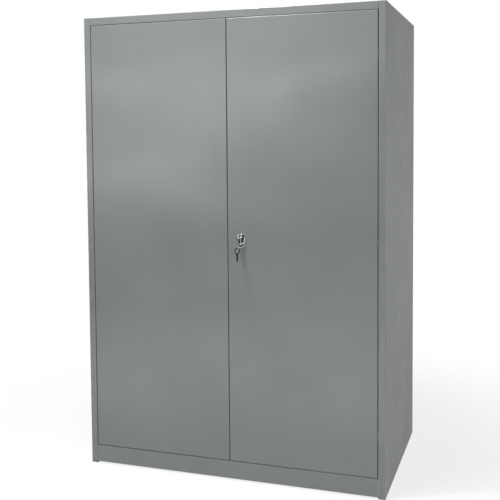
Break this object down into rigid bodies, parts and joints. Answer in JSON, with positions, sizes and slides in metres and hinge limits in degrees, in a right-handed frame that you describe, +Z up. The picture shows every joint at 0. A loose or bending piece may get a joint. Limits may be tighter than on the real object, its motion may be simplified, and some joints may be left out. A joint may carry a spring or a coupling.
{
  "type": "tool cabinet with doors",
  "caption": "Tall sheet-steel tool cabinet with hinged double doors, adjustable shelves on slotted uprights, and a key-operated turn knob that drives locking rods.",
  "frame": {"origin": "middle of the base on the floor: halfway along the width, and halfway between the front of the doors and the back", "axes": "+X to the right seen from the front, +Y from the doors towards the back, +Z up"},
  "size_m": [1.22, 0.8185, 1.83],
  "materials": {
    "painted_sheet": "fine-textured grey powder coat",
    "galvanised_sheet": "galvanised",
    "zinc_plated_steel": "bright zinc plate",
    "chrome_plate": "polished",
    "brass_plug": "nickel-washed brass",
    "nylon": "moulded nylon",
    "rubber": "matt"
  },
  "bodies": {
    "carcass": {"side_panel_left": "painted_sheet", "side_panel_right": "painted_sheet", "top_panel": "painted_sheet", "kick_plate": "painted_sheet", "back_panel": "painted_sheet", "deck": "painted_sheet", "deck_support": "galvanised_sheet", "base_runner_left": "galvanised_sheet", "base_runner_right": "galvanised_sheet", "upright_front_left": "galvanised_sheet", "upright_front_right": "galvanised_sheet", "upright_rear_left": "galvanised_sheet", "upright_rear_right": "galvanised_sheet", "shelf_1": "painted_sheet", "shelf_2": "painted_sheet", "shelf_3": "painted_sheet", "shelf_4": "painted_sheet", "shelf_ribs": "painted_sheet", "shelf_clips": "zinc_plated_steel", "door_buffers": "rubber", "hinge_leaves_left": "zinc_plated_steel", "hinge_leaves_right": "zinc_plated_steel", "hinge_rivets_left": "zinc_plated_steel", "hinge_rivets_right": "zinc_plated_steel"},
    "left_door": {"door_left": "painted_sheet", "door_channel_left": "painted_sheet", "hinge_brackets_left": "zinc_plated_steel", "hinge_pins_left": "zinc_plated_steel", "latch_strike": "zinc_plated_steel"},
    "right_door": {"door_right": "painted_sheet", "door_channel_right": "painted_sheet", "hinge_brackets_right": "zinc_plated_steel", "hinge_pins_right": "zinc_plated_steel", "lock_housing": "chrome_plate", "lock_nut": "zinc_plated_steel", "spindle_bush": "nylon", "rod_guides": "zinc_plated_steel"},
    "handle": {"lock_handle": "chrome_plate", "latch_cam": "zinc_plated_steel", "cam_pins": "zinc_plated_steel", "cam_washer": "zinc_plated_steel", "cam_screw": "zinc_plated_steel"},
    "upper_rod": {"rod_upper": "zinc_plated_steel"},
    "lower_rod": {"rod_lower": "zinc_plated_steel"},
    "key_and_plug": {"lock_plug": "brass_plug", "key": "chrome_plate"},
    "ring": {"key_ring": "chrome_plate"},
    "spare": {"spare_key": "chrome_plate"}
  },
  "joints": [
    {"name": "left_door_swing", "type": "hinge", "parent": "carcass", "child": "left_door", "pos_m": [-0.5725, -0.374, 0.948], "axis": [0, 0, -1], "range_deg": [0, 110]},
    {"name": "right_door_swing", "type": "hinge", "parent": "carcass", "child": "right_door", "pos_m": [0.5725, -0.374, 0.948], "axis": [0, 0, 1], "range_deg": [0, 110]},
    {"name": "upper_rod_slide", "type": "slide", "parent": "right_door", "child": "upper_rod", "axis": [0, 0, 1], "range_m": [0, 0.02545]},
    {"name": "lower_rod_slide", "type": "slide", "parent": "right_door", "child": "lower_rod", "axis": [0, 0, -1], "range_m": [0, 0.026]},
    {"name": "handle_turn", "type": "hinge", "parent": "right_door", "child": "handle", "pos_m": [0.053, -0.381, 0.948], "axis": [0, 1, 0], "range_deg": [0, 90]},
    {"name": "key_turn", "type": "hinge", "parent": "handle", "child": "key_and_plug", "pos_m": [0.053, -0.381, 0.948], "axis": [0, 1, 0], "range_deg": [-90, 0]},
    {"name": "key_ring_swing", "type": "hinge", "parent": "key_and_plug", "child": "ring", "pos_m": [0.053, -0.4255, 0.938], "axis": [0, 1, 0], "range_deg": [-90, 0]},
    {"name": "spare_key_swing", "type": "hinge", "parent": "ring", "child": "spare", "pos_m": [0.053, -0.4255, 0.9194], "axis": [0.766, -0.6428, 0], "range_deg": [-40, 40]}
  ],
  "couplings": [
    {"joint": "handle_turn", "follows": "upper_rod_slide", "rad_per_m": 61.707},
    {"joint": "lower_rod_slide", "follows": "upper_rod_slide", "ratio": 1},
    {"joint": "key_ring_swing", "follows": "upper_rod_slide", "rad_per_m": -61.707}
  ]
}
